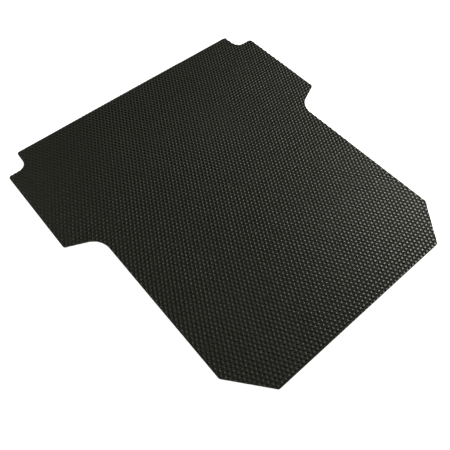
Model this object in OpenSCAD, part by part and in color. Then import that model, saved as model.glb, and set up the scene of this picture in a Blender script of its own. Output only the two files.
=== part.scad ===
// Studded rubber load-bed mat.
//
// A flat, heavy mat that lies loose between the wheel housings of a pickup bed. It is built
// like two-ply belting: a base cover, two woven plies with a rubber skim between them, and a
// tread cover that carries round studs. The whole laminate is die-cut to one outline.
//
// Origin: middle of the outline's box, on the underside. +Y points to the head of the mat,
// +Z points up, and the mat is symmetric about X = 0 apart from its stud lattice.

/* [Outline] */
// Length from the tail edge to the front edge
mat_len = 1700; // [1600:10:1800]
// Width of the head, in front of the wheel recesses
head_w = 1586; // [1500:2:1640]
// Width of the body, between the wheel recesses
body_w = 1278; // [1220:2:1320]
// Width of the tail edge
tail_w = 980; // [900:2:1100]
// Width of the front edge
front_w = 1376; // [1340:2:1400]

/* [Corners] */
// How far the tail corner cuts run up the sides
tail_cut_len = 180; // [120:5:240]
// Distance from the tail edge to the inner end of each wheel recess
recess_len = 1001; // [900:1:1040]
// Rise of the slanted shoulder from its inner end to its outer end
shoulder_rise = 71; // [40:1:90]
// Depth of each front corner notch, measured back from the front edge
notch_len = 113; // [90:1:140]
// How much wider each notch's side is at its root than at the front edge
notch_flare = 5; // [0:1:10]
// Radius in the throat of each wheel recess
throat_r = 97; // [60:1:110]
// Radius in the root of each front corner notch
notch_r = 48; // [30:1:60]
// Radius on each outside corner
corner_r = 13; // [8:1:16]

/* [Laminate] */
// Thickness of the base cover, grooves included
base_t = 3.2; // [2.8:0.1:4]
// Thickness of each woven ply
ply_t = 0.7; // [0.5:0.1:1]
// Thickness of the rubber skim between the plies
skim_t = 0.6; // [0.4:0.1:1]
// Thickness of the tread cover, without its studs
tread_t = 1.8; // [1.5:0.1:2.5]

/* [Studs] */
// Distance between neighbouring studs
stud_pitch = 20; // [20:1:30]
// Diameter of a stud at its foot
stud_foot_d = 15.2; // [12:0.2:16]
// Diameter of a stud at its flat top
stud_top_d = 10.6; // [8:0.2:11]
// Height of a stud above the tread cover
stud_h = 2.5; // [2:0.1:3]
// Turn of the stud lattice against the die-cut outline, in degrees
lattice_turn = 0.7; // [0:0.1:2]

/* [Drainage grooves] */
// Distance between the grooves under the mat
groove_pitch = 26; // [20:2:40]
// Width of a groove
groove_w = 7; // [4:1:10]
// Depth of a groove
groove_deep = 1.3; // [0.8:0.1:1.6]

/* [Hidden] */

base_top = base_t;
lower_ply_top = base_top + ply_t;
skim_top = lower_ply_top + skim_t;
upper_ply_top = skim_top + ply_t;
tread_top = upper_ply_top + tread_t;

recess_outer = recess_len + shoulder_rise;
notch_start = mat_len - notch_len;
arc_steps = 10;
// A cut stud is left off where its centre lies outside the outline by more than this share of
// its radius
widest_lost = 0.4;
stud_fn = 24;
row_pitch = stud_pitch * sin(60);
foot_r = stud_foot_d / 2;
rows = ceil((mat_len / 2 + foot_r) / row_pitch) + 1;
columns = ceil((head_w / 2 + foot_r) / stud_pitch) + 1;

// Corners of the right-hand side, from tail to front: [x, distance from the tail, radius]
side_corners = [
    [tail_w / 2, 0, corner_r],
    [body_w / 2, tail_cut_len, corner_r],
    [body_w / 2, recess_len, throat_r],
    [head_w / 2, recess_outer, corner_r],
    [head_w / 2, notch_start, corner_r],
    [front_w / 2 + notch_flare, notch_start, notch_r],
    [front_w / 2, mat_len, corner_r],
];

function reversed(list) = [for (i = [len(list) - 1 : -1 : 0]) list[i]];
function unit(v) = v / norm(v);
function cross_z(u, v) = u[0] * v[1] - u[1] * v[0];

// Points of the arc that rounds corner b, between its neighbours a and c, to radius r
function rounded_corner(a, b, c, r) =
    let (
        to_a = unit(a - b),
        to_c = unit(c - b),
        angle = acos(to_a * to_c),
        centre = b + unit(to_a + to_c) * r / sin(angle / 2),
        first = b + to_a * r / tan(angle / 2) - centre,
        sweep = (180 - angle) * (cross_z(b - a, c - b) > 0 ? 1 : -1)
    )
    [for (i = [0 : arc_steps])
        let (turn = sweep * i / arc_steps)
        centre + [first[0] * cos(turn) - first[1] * sin(turn),
                  first[0] * sin(turn) + first[1] * cos(turn)]];

function centred(corner) = [corner[0], corner[1] - mat_len / 2];
function mirrored(corner) = [-corner[0], corner[1], corner[2]];
all_corners = concat(side_corners, reversed([for (c = side_corners) mirrored(c)]));
outline_points = [
    for (i = [0 : len(all_corners) - 1])
        let (
            before = all_corners[(i + len(all_corners) - 1) % len(all_corners)],
            here = all_corners[i],
            after = all_corners[(i + 1) % len(all_corners)]
        )
        each rounded_corner(centred(before), centred(here), centred(after), here[2])
];

// Distance from a point to the edge from a to b
function edge_distance(p, a, b) =
    let (along = max(0, min(1, (p - a) * (b - a) / ((b - a) * (b - a)))))
    norm(p - a - along * (b - a));

// Does a ray from the point towards +X cross the edge from a to b?
function ray_crosses(p, a, b) =
    (a[1] > p[1]) != (b[1] > p[1])
    && p[0] < a[0] + (p[1] - a[1]) * (b[0] - a[0]) / (b[1] - a[1]);

outline_edges = [for (i = [0 : len(outline_points) - 1])
                 [outline_points[i], outline_points[(i + 1) % len(outline_points)]]];

// How far a point lies inside the outline; negative outside it
function depth_inside(p) =
    let (
        away = min([for (e = outline_edges) edge_distance(p, e[0], e[1])]),
        crossings = len([for (e = outline_edges) if (ray_crosses(p, e[0], e[1])) 1])
    )
    crossings % 2 == 1 ? away : -away;

function lattice_point(column, row) =
    let (x = stud_pitch * (column + (row % 2 == 0 ? 0 : 0.5)), y = row_pitch * row)
    [x * cos(lattice_turn) - y * sin(lattice_turn), x * sin(lattice_turn) + y * cos(lattice_turn)];

// Centres of the studs on one side of the centre line, each with its depth inside the outline
function side_studs(side) = [
    for (row = [-rows : rows]) for (column = [-columns : columns])
        let (p = lattice_point(column, row))
        if (side * p[0] > 0 && side * p[0] < head_w / 2 + foot_r)
            let (depth = depth_inside(p))
            if (depth > -foot_r * widest_lost) [p[0], p[1], depth]
];

module outline() polygon(outline_points);

module sheet(bottom, top) translate([0, 0, bottom]) linear_extrude(top - bottom) outline();

module stud() translate([0, 0, tread_top])
    cylinder(h = stud_h, d1 = stud_foot_d, d2 = stud_top_d, $fn = stud_fn);

// The studs on one side of the centre line: whole ones, and those that the die cuts through
module studs(side) {
    places = side_studs(side);
    for (p = places) if (p[2] >= foot_r) translate([p[0], p[1]]) stud();
    intersection() {
        sheet(tread_top, tread_top + stud_h);
        union() for (p = places) if (p[2] < foot_r) translate([p[0], p[1]]) stud();
    }
}

module base_cover() color("#1d1d1b") difference() {
    sheet(0, base_top);
    for (side = [-1, 1]) for (x = [groove_pitch / 2 : groove_pitch : head_w / 2])
        translate([side * x - groove_w / 2, -mat_len / 2 - 1, -1])
            cube([groove_w, mat_len + 2, groove_deep + 1]);
}

module lower_woven_ply() color("#4a473e") sheet(base_top, lower_ply_top);
module skim_layer() color("#23231f") sheet(lower_ply_top, skim_top);
module upper_woven_ply() color("#4a473e") sheet(skim_top, upper_ply_top);
module tread_cover() color("#23231f") sheet(upper_ply_top, tread_top);
module left_tread_studs() color("#2b2b26") studs(-1);
module right_tread_studs() color("#2b2b26") studs(1);

base_cover();
lower_woven_ply();
skim_layer();
upper_woven_ply();
tread_cover();
left_tread_studs();
right_tread_studs();
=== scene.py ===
import math

import bmesh
import bpy
import numpy as np
from bpy.props import FloatProperty, FloatVectorProperty, IntProperty, PointerProperty
from mathutils import Matrix, Vector


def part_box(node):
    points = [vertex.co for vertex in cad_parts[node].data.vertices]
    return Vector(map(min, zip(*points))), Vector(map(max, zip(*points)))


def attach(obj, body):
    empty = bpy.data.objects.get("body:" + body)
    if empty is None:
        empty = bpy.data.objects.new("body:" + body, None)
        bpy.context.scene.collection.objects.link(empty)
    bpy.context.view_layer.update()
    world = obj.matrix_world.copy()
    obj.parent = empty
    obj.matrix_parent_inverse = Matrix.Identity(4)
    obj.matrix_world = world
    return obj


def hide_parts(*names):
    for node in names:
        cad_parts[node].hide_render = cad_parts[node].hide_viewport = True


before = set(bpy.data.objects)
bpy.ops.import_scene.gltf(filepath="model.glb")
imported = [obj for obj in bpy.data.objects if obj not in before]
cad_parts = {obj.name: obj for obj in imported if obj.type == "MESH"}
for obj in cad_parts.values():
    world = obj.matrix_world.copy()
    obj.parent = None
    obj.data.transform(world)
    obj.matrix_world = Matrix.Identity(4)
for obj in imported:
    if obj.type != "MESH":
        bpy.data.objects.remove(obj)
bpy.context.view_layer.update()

bl_info = {
    "name": "Load Bed Mat Maker",
    "version": (1, 0, 0),
    "blender": (4, 5, 0),
    "location": "View3D > Sidebar > Load Bed Mat",
    "description": "Moulds the studs, dresses the rubber and plies, and sets the studio for a load bed mat",
    "category": "Add Mesh",
}

MM = 0.001
SHEET_LOW, SHEET_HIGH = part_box("tread_cover")
STUD_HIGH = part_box("right_tread_studs")[1]
# Each stud starts this far under the sheet, so that no gap shows at its foot
STUD_SINK = 0.35 * MM
# Width of the fillet that leads from the sheet into a stud's wall
FOOT_FILLET = 0.75 * MM
# Shares of the foot radius: a centre deeper than the first inside the die line leaves its stud
# whole, and one further outside it than the second leaves no stud
WHOLE_DEPTH = 1.03
LOST_DEPTH = 0.37


# ---------------------------------------------------------------- sizes and colours

class MatSizes(bpy.types.PropertyGroup):
    stud_pitch: FloatProperty(
        name="Stud pitch", description="Distance between neighbouring studs",
        default=20 * MM, min=15 * MM, max=30 * MM, unit="LENGTH")
    foot_radius: FloatProperty(
        name="Foot radius", description="Radius of a stud where its foot runs out into the sheet",
        default=8.3 * MM, min=5 * MM, max=9.5 * MM, unit="LENGTH")
    crown_radius: FloatProperty(
        name="Crown radius", description="Radius of a stud's flat crown",
        default=4.4 * MM, min=2 * MM, max=7 * MM, unit="LENGTH")
    lattice_turn: FloatProperty(
        name="Lattice turn", description="Turn of the stud lattice against the die-cut outline",
        default=math.radians(0.7), min=0, max=math.radians(3), unit="ROTATION")
    stud_sides: IntProperty(
        name="Stud sides", description="Number of sides round a stud", default=14, min=8, max=32)


class MatColours(bpy.types.PropertyGroup):
    tread: FloatVectorProperty(
        name="Tread rubber", description="Colour of the studded face",
        default=(0.0040, 0.0038, 0.0016), subtype="COLOR", min=0, max=1)
    base: FloatVectorProperty(
        name="Base rubber", description="Colour of the underside",
        default=(0.0120, 0.0118, 0.0105), subtype="COLOR", min=0, max=1)
    bloom: FloatVectorProperty(
        name="Bloom", description="Pale film that rubber brings to its surface",
        default=(0.070, 0.066, 0.055), subtype="COLOR", min=0, max=1)
    cord: FloatVectorProperty(
        name="Ply cord", description="Colour of the cut cord ends at the edge",
        default=(0.060, 0.055, 0.045), subtype="COLOR", min=0, max=1)


# ---------------------------------------------------------------- mesh helpers

def new_piece(name, vertices, faces, smooth=True):
    """A mesh object from points and a list of index arrays, one array per polygon size."""
    mesh = bpy.data.meshes.new(name)
    mesh.vertices.add(len(vertices))
    mesh.vertices.foreach_set("co", np.asarray(vertices, np.float32).ravel())
    loops = np.concatenate([block.ravel() for block in faces]).astype(np.int32)
    sizes = np.concatenate([np.full(len(block), block.shape[1]) for block in faces])
    starts = np.concatenate([[0], np.cumsum(sizes)[:-1]]).astype(np.int32)
    mesh.loops.add(len(loops))
    mesh.loops.foreach_set("vertex_index", loops)
    mesh.polygons.add(len(sizes))
    mesh.polygons.foreach_set("loop_start", starts)
    mesh.update(calc_edges=True)
    mesh.validate()
    mesh.polygons.foreach_set("use_smooth", np.full(len(mesh.polygons), smooth))
    piece = bpy.data.objects.new(name, mesh)
    bpy.context.scene.collection.objects.link(piece)
    return piece


def rim_of(node):
    """The closed outline round a CAD sheet's top face, in order, as an array of X and Y."""
    sheet = bmesh.new()
    sheet.from_mesh(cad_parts[node].data)
    bmesh.ops.remove_doubles(sheet, verts=sheet.verts, dist=0.01 * MM)
    top = {face for face in sheet.faces if face.normal.z > 0.9}
    after = {}  # the next vertex round the rim, for each vertex on it
    for face in top:
        for loop in face.loops:
            if sum(f in top for f in loop.edge.link_faces) == 1:
                after[loop.vert] = loop.link_loop_next.vert
    if not after:
        raise RuntimeError(f"{node} has no top face with a rim")
    start = here = next(iter(after))
    rim = []
    while True:
        rim.append(here.co.xy.copy())
        here = after[here]
        if here is start:
            break
    sheet.free()
    return np.array(rim)


def distance_inside(points, rim):
    """Signed distance of each point from the rim, positive inside."""
    a, b = rim, np.roll(rim, -1, axis=0)
    away = np.full(len(points), np.inf)
    inside = np.zeros(len(points), bool)
    for (ax, ay), (bx, by) in zip(a, b):
        edge = np.array([bx - ax, by - ay])
        rel = points - (ax, ay)
        along = np.clip(rel @ edge / (edge @ edge), 0, 1)
        away = np.minimum(away, np.linalg.norm(rel - along[:, None] * edge, axis=1))
        crosses = (ay > points[:, 1]) != (by > points[:, 1])
        if by != ay:
            at = ax + (points[:, 1] - ay) * (bx - ax) / (by - ay)
            inside ^= crosses & (points[:, 0] < at)
    return np.where(inside, away, -away)


# ---------------------------------------------------------------- studs

def stud_profile(sizes, height):
    """Radius and height down one stud's side, from the sunk root to the crown."""
    foot, crown = sizes.foot_radius, sizes.crown_radius
    wall = foot - FOOT_FILLET
    return [
        (foot, -STUD_SINK),
        (foot, 0.0),
        (wall, 0.11 * height),
        (wall - 0.27 * (wall - crown), 0.48 * height),
        (wall - 0.56 * (wall - crown), 0.80 * height),
        (crown, 0.955 * height),
        (0.52 * crown, height),
    ]


def stud_lattice(sizes):
    """Centres of the hexagonal lattice that covers the mat's box."""
    row_pitch = sizes.stud_pitch * math.sin(math.radians(60))
    reach = SHEET_HIGH.xy + Vector((1, 1)) * 2 * sizes.stud_pitch
    rows = math.ceil(reach.y / row_pitch)
    columns = math.ceil(reach.x / sizes.stud_pitch)
    row, column = np.mgrid[-rows:rows + 1, -columns:columns + 1].reshape(2, -1)
    x = sizes.stud_pitch * (column + 0.5 * (row % 2))
    y = row_pitch * row
    c, s = math.cos(sizes.lattice_turn), math.sin(sizes.lattice_turn)
    return np.stack([x * c - y * s, x * s + y * c], axis=1)


def studs_at(centres, sizes, draw):
    """Points and faces of closed studs at these centres, each a little different from the next.

    A stud's points are its rings from the root up, then the crown's centre and the root's centre.
    """
    count, sides = len(centres), sizes.stud_sides
    height = STUD_HIGH.z - SHEET_HIGH.z
    profile = np.array(stud_profile(sizes, height))
    rings = len(profile)
    angle = 2 * math.pi * np.arange(sides) / sides
    ring_x = profile[:, :1] * np.cos(angle)
    ring_y = profile[:, :1] * np.sin(angle)
    per_stud = rings * sides + 2
    points = np.zeros((count, per_stud, 3))
    wide = 1 + 0.012 * draw.standard_normal((count, 1)).clip(-2, 2)
    tall = 1 - 0.035 * draw.random((count, 1))
    lean = 0.010 * draw.standard_normal((count, 2)).clip(-2, 2)
    points[:, :-2, 0] = ring_x.ravel() * wide
    points[:, :-2, 1] = ring_y.ravel() * wide
    points[:, :-2, 2] = np.repeat(profile[:, 1], sides) * tall
    points[:, -2, 2] = height * tall[:, 0]
    points[:, -1, 2] = profile[0, 1]
    above = points[:, :, 2] > 0.5 * height
    tilt = points[:, :, 0] * lean[:, :1] + points[:, :, 1] * lean[:, 1:]
    points[:, :, 2] += np.where(above, tilt, 0)
    points[:, :, 2] = np.minimum(points[:, :, 2], height)
    points[:, :, :2] += centres[:, None, :]
    points[:, :, 2] += SHEET_HIGH.z
    first = (np.arange(count) * per_stud)[:, None, None]
    i = np.arange(sides)
    j = (i + 1) % sides
    bands = np.concatenate([
        np.stack([k * sides + i, k * sides + j, (k + 1) * sides + j, (k + 1) * sides + i], axis=1)
        for k in range(rings - 1)])
    crown = np.stack([(rings - 1) * sides + i, (rings - 1) * sides + j,
                      np.full(sides, rings * sides)], axis=1)
    root = np.stack([j, i, np.full(sides, rings * sides + 1)], axis=1)
    quads = (bands[None] + first).reshape(-1, 4)
    triangles = (np.concatenate([crown, root])[None] + first).reshape(-1, 3)
    return points.reshape(-1, 3), [quads, triangles]


def die_block(rim, low, high):
    """A solid of the die's shape, to trim the studs at the mat's edge."""
    count = len(rim)
    points = np.concatenate([np.column_stack([rim, np.full(count, z)]) for z in (low, high)])
    i = np.arange(count)
    j = (i + 1) % count
    walls = np.stack([i, j, j + count, i + count], axis=1)
    return new_piece("die_block", points, [walls, i[None, ::-1], (i + count)[None]], smooth=False)


def trimmed(piece, block):
    """Cuts the piece to the block, and leaves the cut applied to its mesh."""
    cut = piece.modifiers.new("die cut", "BOOLEAN")
    cut.operation = "INTERSECT"
    cut.solver = "EXACT"
    cut.object = block
    graph = bpy.context.evaluated_depsgraph_get()
    mesh = bpy.data.meshes.new_from_object(piece.evaluated_get(graph))
    piece.modifiers.clear()
    old = piece.data
    piece.data = mesh
    bpy.data.meshes.remove(old)
    return piece


def join(name, pieces):
    """One object from several, by their meshes."""
    whole = bmesh.new()
    for piece in pieces:
        whole.from_mesh(piece.data)
    mesh = bpy.data.meshes.new(name)
    whole.to_mesh(mesh)
    whole.free()
    for piece in pieces:
        bpy.data.objects.remove(piece)
    joined = bpy.data.objects.new(name, mesh)
    bpy.context.scene.collection.objects.link(joined)
    return joined


# ---------------------------------------------------------------- shader building

def group_tree(name, inputs, outputs):
    """An empty shader node group with named sockets, and its input and output nodes."""
    tree = bpy.data.node_groups.new(name, "ShaderNodeTree")
    for label, kind, value in inputs:
        socket = tree.interface.new_socket(label, in_out="INPUT", socket_type=kind)
        if value is not None:
            socket.default_value = value
    for label, kind in outputs:
        tree.interface.new_socket(label, in_out="OUTPUT", socket_type=kind)
    return tree, tree.nodes.new("NodeGroupInput"), tree.nodes.new("NodeGroupOutput")


def noise(tree, vector, scale, detail=3.0, roughness=0.55):
    """Noise over the vector; scale is a number or a socket."""
    node = tree.nodes.new("ShaderNodeTexNoise")
    if isinstance(scale, bpy.types.NodeSocket):
        tree.links.new(scale, node.inputs["Scale"])
    else:
        node.inputs["Scale"].default_value = scale
    node.inputs["Detail"].default_value = detail
    node.inputs["Roughness"].default_value = roughness
    tree.links.new(vector, node.inputs["Vector"])
    return node.outputs["Fac"]


def maths(tree, operation, a, b=None):
    """A Math node's result; a and b are numbers or sockets."""
    node = tree.nodes.new("ShaderNodeMath")
    node.operation = operation
    for socket, value in zip(node.inputs, (a, b)):
        if isinstance(value, (int, float)):
            socket.default_value = value
        elif value is not None:
            tree.links.new(value, socket)
    return node.outputs[0]


def ranged(tree, value, low, high, to_low=0.0, to_high=1.0):
    """The value eased from the range low to high into the range to_low to to_high."""
    node = tree.nodes.new("ShaderNodeMapRange")
    node.interpolation_type = "SMOOTHSTEP"
    tree.links.new(value, node.inputs["Value"])
    for label, number in (("From Min", low), ("From Max", high),
                          ("To Min", to_low), ("To Max", to_high)):
        node.inputs[label].default_value = number
    return node.outputs["Result"]


def blend_colour(tree, factor, a, b):
    """Colour a where the factor is 0 and colour b where it is 1; each is a colour or a socket."""
    node = tree.nodes.new("ShaderNodeMix")
    node.data_type = "RGBA"
    for socket, value in ((node.inputs[0], factor), (node.inputs[6], a), (node.inputs[7], b)):
        if isinstance(value, bpy.types.NodeSocket):
            tree.links.new(value, socket)
        else:
            socket.default_value = (*value, 1.0)
    return node.outputs[2]


def rubber_grain():
    """Moulded rubber: fine pebble grain and slow unevenness, as heights, with a mottle mask."""
    tree, given, made = group_tree(
        "Rubber Grain",
        [("Vector", "NodeSocketVector", None), ("Fine scale", "NodeSocketFloat", 900.0)],
        [("Height", "NodeSocketFloat"), ("Mottle", "NodeSocketFloat")])
    vector = given.outputs["Vector"]
    fine = noise(tree, vector, given.outputs["Fine scale"], 2.0, 0.5)
    pores = tree.nodes.new("ShaderNodeTexVoronoi")
    pores.inputs["Scale"].default_value = 420.0
    tree.links.new(vector, pores.inputs["Vector"])
    pits = ranged(tree, pores.outputs["Distance"], 0.05, 0.30)
    slow = noise(tree, vector, 70.0, 2.0)
    uneven = maths(tree, "ADD", maths(tree, "MULTIPLY", pits, 0.25),
                   maths(tree, "MULTIPLY", slow, 0.5))
    height = maths(tree, "ADD", maths(tree, "MULTIPLY", fine, 0.5), uneven)
    tree.links.new(height, made.inputs["Height"])
    patches = noise(tree, vector, 6.0, 4.0, 0.6)
    specks = noise(tree, vector, 160.0, 2.0, 0.6)
    mottle = maths(tree, "ADD", maths(tree, "MULTIPLY", patches, 0.6),
                   maths(tree, "MULTIPLY", specks, 0.4))
    tree.links.new(ranged(tree, mottle, 0.36, 0.64), made.inputs["Mottle"])
    return tree


def surface_bloom():
    """Pale film in soft clouds, and how far a point rises from Low to High, as 0 to 1."""
    tree, given, made = group_tree(
        "Surface Bloom",
        [("Vector", "NodeSocketVector", None), ("Low", "NodeSocketFloat", 0.0),
         ("High", "NodeSocketFloat", 0.01), ("Amount", "NodeSocketFloat", 0.3)],
        [("Film", "NodeSocketFloat"), ("Rise", "NodeSocketFloat")])
    vector = given.outputs["Vector"]
    split = tree.nodes.new("ShaderNodeSeparateXYZ")
    tree.links.new(vector, split.inputs[0])
    span = maths(tree, "SUBTRACT", given.outputs["High"], given.outputs["Low"])
    above = maths(tree, "SUBTRACT", split.outputs["Z"], given.outputs["Low"])
    rise = maths(tree, "DIVIDE", above, span)
    rise = maths(tree, "MINIMUM", maths(tree, "MAXIMUM", rise, 0.0), 1.0)
    clouds = ranged(tree, noise(tree, vector, 14.0, 5.0, 0.65), 0.40, 0.68)
    film = maths(tree, "MULTIPLY", clouds, given.outputs["Amount"])
    tree.links.new(film, made.inputs["Film"])
    tree.links.new(rise, made.inputs["Rise"])
    return tree


def cloth_mark():
    """Plain weave, as a height: over and under threads on a square grid."""
    tree, given, made = group_tree(
        "Cloth Mark",
        [("Vector", "NodeSocketVector", None), ("Threads per metre", "NodeSocketFloat", 700.0)],
        [("Height", "NodeSocketFloat"), ("Thread", "NodeSocketFloat")])
    scaled = tree.nodes.new("ShaderNodeVectorMath")
    scaled.operation = "SCALE"
    tree.links.new(given.outputs["Vector"], scaled.inputs[0])
    tree.links.new(given.outputs["Threads per metre"], scaled.inputs["Scale"])
    split = tree.nodes.new("ShaderNodeSeparateXYZ")
    tree.links.new(scaled.outputs[0], split.inputs[0])
    across = maths(tree, "SINE", maths(tree, "MULTIPLY", split.outputs["X"], math.pi))
    along = maths(tree, "SINE", maths(tree, "MULTIPLY", split.outputs["Y"], math.pi))
    weave = maths(tree, "MULTIPLY", across, along)
    tree.links.new(ranged(tree, weave, -1.0, 1.0), made.inputs["Height"])
    tree.links.new(ranged(tree, maths(tree, "ABSOLUTE", weave), 0.0, 0.5), made.inputs["Thread"])
    return tree


def material_start(name):
    """A node material with its shader and Object coordinates ready."""
    material = bpy.data.materials.new(name)
    material.use_nodes = True
    tree = material.node_tree
    shader = tree.nodes["Principled BSDF"]
    place = tree.nodes.new("ShaderNodeTexCoord").outputs["Object"]
    return material, tree, shader, place


def placed(tree, group, vector, **values):
    """One of the shared effects as a node; an underscore in a value's name is a space."""
    node = tree.nodes.new("ShaderNodeGroup")
    node.node_tree = bpy.data.node_groups[group]
    tree.links.new(vector, node.inputs["Vector"])
    for label, value in values.items():
        node.inputs[label.replace("_", " ")].default_value = value
    return node


def bumped(tree, shader, height, depth):
    """Bends the shader's normal by the height, over the depth given in metres."""
    bump = tree.nodes.new("ShaderNodeBump")
    bump.inputs["Distance"].default_value = depth
    bump.inputs["Strength"].default_value = 1.0
    tree.links.new(height, bump.inputs["Height"])
    tree.links.new(bump.outputs["Normal"], shader.inputs["Normal"])


def tread_rubber(colours):
    """Black tread rubber: satin on the crowns, duller between them, with a trace of bloom."""
    material, tree, shader, place = material_start("tread_rubber")
    grain = placed(tree, "Rubber Grain", place, Fine_scale=900.0)
    bloom = placed(tree, "Surface Bloom", place, Low=SHEET_HIGH.z, High=STUD_HIGH.z, Amount=0.02)
    dark = tuple(0.82 * c for c in colours.tread)
    light = tuple(1.22 * c for c in colours.tread)
    tone = blend_colour(tree, grain.outputs["Mottle"], dark, light)
    tone = blend_colour(tree, bloom.outputs["Film"], tone, tuple(colours.bloom))
    tree.links.new(tone, shader.inputs["Base Color"])
    rough = ranged(tree, bloom.outputs["Rise"], 0.15, 0.9, 0.42, 0.31)
    rough = maths(tree, "ADD", rough, maths(tree, "MULTIPLY", grain.outputs["Mottle"], 0.06))
    tree.links.new(rough, shader.inputs["Roughness"])
    shader.inputs["Specular IOR Level"].default_value = 0.5
    bumped(tree, shader, grain.outputs["Height"], 0.12 * MM)
    return material


def base_rubber(colours):
    """Black base rubber, moulded against cloth."""
    material, tree, shader, place = material_start("base_rubber")
    grain = placed(tree, "Rubber Grain", place, Fine_scale=700.0)
    cloth = placed(tree, "Cloth Mark", place, Threads_per_metre=640.0)
    bloom = placed(tree, "Surface Bloom", place, Low=0.0, High=0.004, Amount=0.35)
    dark = tuple(0.8 * c for c in colours.base)
    light = tuple(1.3 * c for c in colours.base)
    tone = blend_colour(tree, grain.outputs["Mottle"], dark, light)
    tone = blend_colour(tree, bloom.outputs["Film"], tone, tuple(colours.bloom))
    tree.links.new(tone, shader.inputs["Base Color"])
    rough = ranged(tree, cloth.outputs["Thread"], 0.0, 1.0, 0.72, 0.58)
    tree.links.new(rough, shader.inputs["Roughness"])
    height = maths(tree, "ADD", maths(tree, "MULTIPLY", cloth.outputs["Height"], 0.7),
                   maths(tree, "MULTIPLY", grain.outputs["Height"], 0.3))
    bumped(tree, shader, height, 0.22 * MM)
    return material


def skim_rubber(colours):
    """Soft bonding rubber, seen only at the die-cut edge, with a fine mottled grain."""
    material, tree, shader, place = material_start("skim_rubber")
    grain = placed(tree, "Rubber Grain", place, Fine_scale=1200.0)
    tone = blend_colour(tree, grain.outputs["Mottle"], tuple(0.9 * c for c in colours.tread),
                        tuple(1.5 * c for c in colours.tread))
    tree.links.new(tone, shader.inputs["Base Color"])
    rough = ranged(tree, grain.outputs["Mottle"], 0.0, 1.0, 0.60, 0.74)
    tree.links.new(rough, shader.inputs["Roughness"])
    bumped(tree, shader, grain.outputs["Height"], 0.15 * MM)
    return material


def woven_ply(colours):
    """Rubber-soaked cord: at the cut edge the cord ends show as pale dots in black rubber."""
    material, tree, shader, place = material_start("woven_ply")
    cloth = placed(tree, "Cloth Mark", place, Threads_per_metre=900.0)
    grain = placed(tree, "Rubber Grain", place, Fine_scale=1500.0)
    ends = maths(tree, "MULTIPLY", cloth.outputs["Thread"], grain.outputs["Mottle"])
    tone = blend_colour(tree, ends, tuple(colours.tread), tuple(colours.cord))
    tree.links.new(tone, shader.inputs["Base Color"])
    rough = ranged(tree, cloth.outputs["Thread"], 0.0, 1.0, 0.65, 0.85)
    tree.links.new(rough, shader.inputs["Roughness"])
    bumped(tree, shader, cloth.outputs["Height"], 0.3 * MM)
    return material


def dress(obj, material):
    """The material on every face of a piece or CAD node."""
    if not obj.data.materials:
        obj.data.materials.append(material)
    for slot in obj.material_slots:
        slot.material = material


# ---------------------------------------------------------------- operators

class BEDMAT_OT_effects(bpy.types.Operator):
    """Build the shader effects that the rubber and the plies share"""
    bl_idname = "bedmat.effects"
    bl_label = "Shared Surface Effects"

    def execute(self, context):
        for make in (rubber_grain, surface_bloom, cloth_mark):
            make()
        return {"FINISHED"}


class BEDMAT_OT_studs(bpy.types.Operator):
    """Mould the left and right fields of studs and trim them with the die"""
    bl_idname = "bedmat.studs"
    bl_label = "Tread Studs"

    def execute(self, context):
        sizes = context.scene.mat_sizes
        rim = rim_of("tread_cover")
        centres = stud_lattice(sizes)
        depth = distance_inside(centres, rim)
        reach = WHOLE_DEPTH * sizes.foot_radius
        lost = LOST_DEPTH * sizes.foot_radius
        draw = np.random.default_rng(7)
        block = die_block(rim, SHEET_LOW.z, STUD_HIGH.z + MM)
        rubber = tread_rubber(context.scene.mat_colours)
        for side, sign in (("left", -1), ("right", 1)):
            mine = sign * centres[:, 0] > 0
            whole = new_piece("whole", *studs_at(centres[mine & (depth > reach)], sizes, draw))
            crossed = mine & (depth > -lost) & (depth <= reach)
            cut = trimmed(new_piece("cut", *studs_at(centres[crossed], sizes, draw)), block)
            field = join(f"{side}_stud_field", [whole, cut])
            dress(field, rubber)
            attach(field, "root")
            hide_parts(f"{side}_tread_studs")
        bpy.data.objects.remove(block)
        return {"FINISHED"}


class BEDMAT_OT_tread_cover(bpy.types.Operator):
    """Dress the tread cover that carries the studs"""
    bl_idname = "bedmat.tread_cover"
    bl_label = "Tread Cover"

    def execute(self, context):
        dress(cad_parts["tread_cover"], bpy.data.materials["tread_rubber"])
        return {"FINISHED"}


class BEDMAT_OT_plies(bpy.types.Operator):
    """Dress the woven plies and the skim between them"""
    bl_idname = "bedmat.plies"
    bl_label = "Woven Plies and Skim"

    def execute(self, context):
        colours = context.scene.mat_colours
        weave = woven_ply(colours)
        for node in ("lower_woven_ply", "upper_woven_ply"):
            dress(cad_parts[node], weave)
        dress(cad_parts["skim_layer"], skim_rubber(colours))
        return {"FINISHED"}


class BEDMAT_OT_base_cover(bpy.types.Operator):
    """Dress the grooved base cover"""
    bl_idname = "bedmat.base_cover"
    bl_label = "Base Cover"

    def execute(self, context):
        dress(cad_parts["base_cover"], base_rubber(context.scene.mat_colours))
        return {"FINISHED"}


def softbox(name, place, aim, size, power, colour=(0.97, 0.98, 0.80)):
    """A rectangular lamp at place, turned to face aim."""
    lamp = bpy.data.lights.new(name, "AREA")
    lamp.shape = "RECTANGLE"
    lamp.size, lamp.size_y = size
    lamp.energy = power
    lamp.color = colour
    holder = bpy.data.objects.new(name, lamp)
    holder.location = place
    holder.rotation_euler = (Vector(aim) - Vector(place)).to_track_quat("-Z", "Y").to_euler()
    bpy.context.scene.collection.objects.link(holder)


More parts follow.
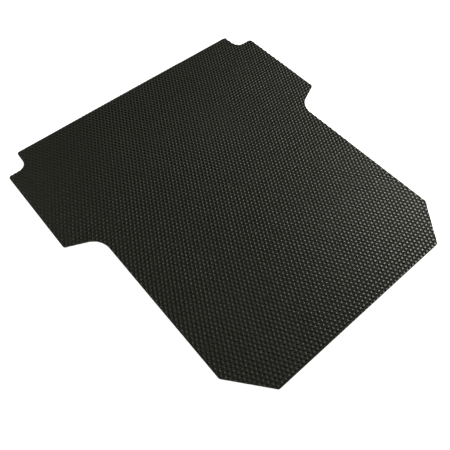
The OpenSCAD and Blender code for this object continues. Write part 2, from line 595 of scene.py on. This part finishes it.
def floor_material():
    """Plain pale floor with a glow of its own, so that it stays white away from the lamps."""
    material = bpy.data.materials.new("studio_floor")
    material.use_nodes = True
    shader = material.node_tree.nodes["Principled BSDF"]
    shader.inputs["Base Color"].default_value = (0.9, 0.9, 0.9, 1)
    shader.inputs["Roughness"].default_value = 0.9
    shader.inputs["Specular IOR Level"].default_value = 0.0
    shader.inputs["Emission Color"].default_value = (1, 1, 1, 1)
    shader.inputs["Emission Strength"].default_value = 0.9
    return material


class BEDMAT_OT_stage(bpy.types.Operator):
    """Lay the studio floor, hang the softboxes and place the camera"""
    bl_idname = "bedmat.stage"
    bl_label = "Studio Stage"

    def execute(self, context):
        scene = context.scene
        half, gap = 30.0, 0.2 * MM
        corners = [(-half, -half, 0), (half, -half, 0), (half, half, 0), (-half, half, 0)]
        floor = new_piece("studio_floor", corners, [np.array([[0, 1, 2, 3]])], smooth=False)
        floor.location.z = -gap
        dress(floor, floor_material())

        cool = (0.97, 0.98, 0.90)
        softbox("low_side_softbox", (3.2, -0.55, 0.85), (0.4, -0.5, 0), (1.4, 1.2), 88, cool)
        softbox("high_side_softbox", (2.35, -0.35, 2.25), (0.4, -0.5, 0), (1.0, 1.2), 50, cool)
        softbox("left_softbox", (-3.3, 0.9, 0.7), (-0.5, 0.4, 0), (1.2, 1.2), 34)
        softbox("overhead_softbox", (-0.7, -1.0, 3.1), (0, 0, 0), (1.8, 1.2), 9)
        softbox("head_softbox", (-1.3, 2.7, 1.7), (-0.3, 0, 0), (1.2, 1.2), 10)

        # The backdrop shows white to the camera but lights nothing
        world = bpy.data.worlds.new("studio")
        world.use_nodes = True
        backdrop = world.node_tree.nodes["Background"].inputs
        backdrop["Color"].default_value = (0.9, 0.9, 0.9, 1)
        seen = world.node_tree.nodes.new("ShaderNodeLightPath").outputs["Is Camera Ray"]
        world.node_tree.links.new(seen, backdrop["Strength"])
        scene.world = world

        camera = bpy.data.cameras.new("camera")
        camera.sensor_width = 36.0
        camera.lens = 39.766
        holder = bpy.data.objects.new("camera", camera)
        scene.collection.objects.link(holder)
        pitch, yaw, roll = math.radians(58.025), math.radians(40.648), math.radians(0.1325)
        holder.location = (-0.9547, -1.0714, 1.9388)
        turned = Matrix.Rotation(-yaw, 3, "Z") @ Matrix.Rotation(math.pi / 2 - pitch, 3, "X")
        holder.rotation_euler = (turned @ Matrix.Rotation(roll, 3, "Z")).to_euler()
        camera.clip_start, camera.clip_end = 0.05, 100
        scene.camera = holder
        scene.view_settings.view_transform = "Standard"
        return {"FINISHED"}


class BEDMAT_PT_panel(bpy.types.Panel):
    """The mat's sizes, colours and making steps"""
    bl_idname = "BEDMAT_PT_panel"
    bl_label = "Load Bed Mat"
    bl_space_type = "VIEW_3D"
    bl_region_type = "UI"
    bl_category = "Load Bed Mat"

    def draw(self, context):
        for group in (context.scene.mat_sizes, context.scene.mat_colours):
            box = self.layout.box()
            for name in group.bl_rna.properties.keys():
                if name not in ("rna_type", "name"):
                    box.prop(group, name)
        for step in STEPS:
            self.layout.operator(step.bl_idname)


STEPS = (BEDMAT_OT_effects, BEDMAT_OT_studs, BEDMAT_OT_tread_cover, BEDMAT_OT_plies,
         BEDMAT_OT_base_cover, BEDMAT_OT_stage)
CLASSES = (MatSizes, MatColours, *STEPS, BEDMAT_PT_panel)


def register():
    for cls in CLASSES:
        bpy.utils.register_class(cls)
    bpy.types.Scene.mat_sizes = PointerProperty(type=MatSizes)
    bpy.types.Scene.mat_colours = PointerProperty(type=MatColours)


def unregister():
    del bpy.types.Scene.mat_colours
    del bpy.types.Scene.mat_sizes
    for cls in reversed(CLASSES):
        bpy.utils.unregister_class(cls)


def main():
    register()
    bpy.ops.bedmat.effects()
    bpy.ops.bedmat.studs()
    bpy.ops.bedmat.tread_cover()
    bpy.ops.bedmat.plies()
    bpy.ops.bedmat.base_cover()
    bpy.ops.bedmat.stage()


if __name__ == "__main__":
    main()
